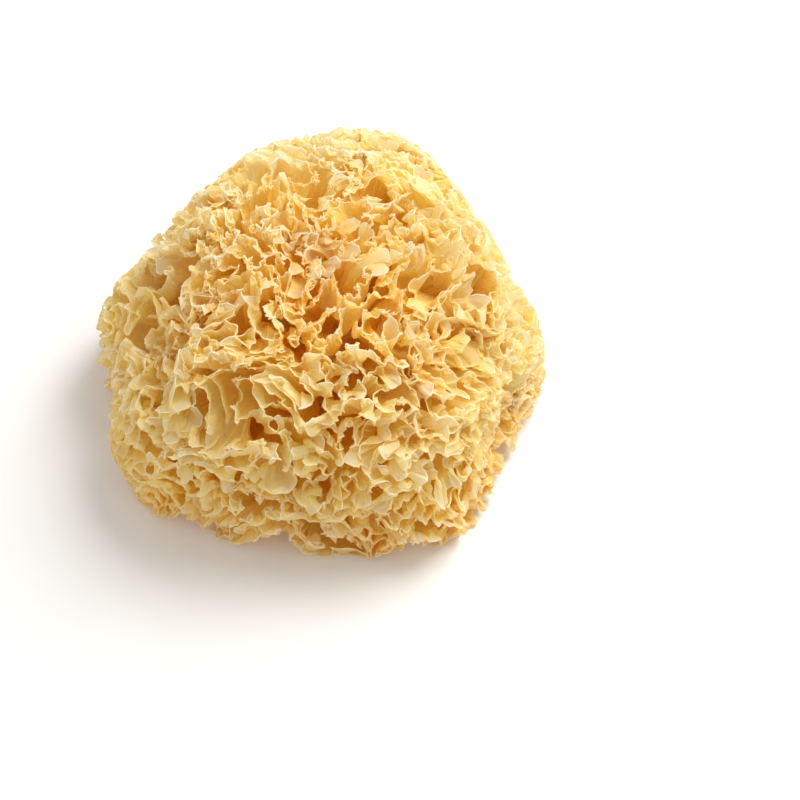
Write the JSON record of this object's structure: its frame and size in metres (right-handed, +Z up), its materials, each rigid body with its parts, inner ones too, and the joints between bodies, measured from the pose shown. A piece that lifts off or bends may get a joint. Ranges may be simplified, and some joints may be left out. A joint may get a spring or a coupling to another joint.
{
  "type": "snow fungus",
  "caption": "Dried snow fungus: a rounded rosette of thin, ruffled, translucent fronds on a tough base cut off flat.",
  "frame": {"origin": "centre of the flat cut under the base, where the fungus left its log", "axes": "+Z up out of the cut through the crown, -Y towards the front bulge of the rosette, +X to the right seen from the front"},
  "size_m": [0.1503, 0.1492, 0.0804],
  "materials": {
    "frond": "dry, satin, translucent",
    "base": "dry, matt, tough"
  },
  "bodies": {
    "root": {"base": "base", "frond_01": "frond", "frond_02": "frond", "frond_03": "frond", "frond_04": "frond", "frond_05": "frond", "frond_06": "frond", "frond_07": "frond", "frond_08": "frond", "frond_09": "frond", "frond_10": "frond", "frond_11": "frond", "frond_12": "frond", "frond_13": "frond", "frond_14": "frond", "frond_15": "frond", "frond_16": "frond", "frond_17": "frond", "frond_18": "frond", "frond_19": "frond", "frond_20": "frond", "frond_21": "frond", "frond_22": "frond", "frond_23": "frond", "frond_24": "frond", "frond_25": "frond", "frond_26": "frond", "frond_27": "frond", "frond_28": "frond", "frond_29": "frond", "frond_30": "frond", "frond_31": "frond", "frond_32": "frond", "frond_33": "frond", "frond_34": "frond", "frond_35": "frond", "frond_36": "frond", "frond_37": "frond", "frond_38": "frond", "frond_39": "frond", "frond_40": "frond", "frond_41": "frond", "frond_42": "frond", "frond_43": "frond", "frond_44": "frond", "frond_45": "frond", "frond_46": "frond", "frond_47": "frond", "frond_48": "frond"}
  },
  "joints": []
}
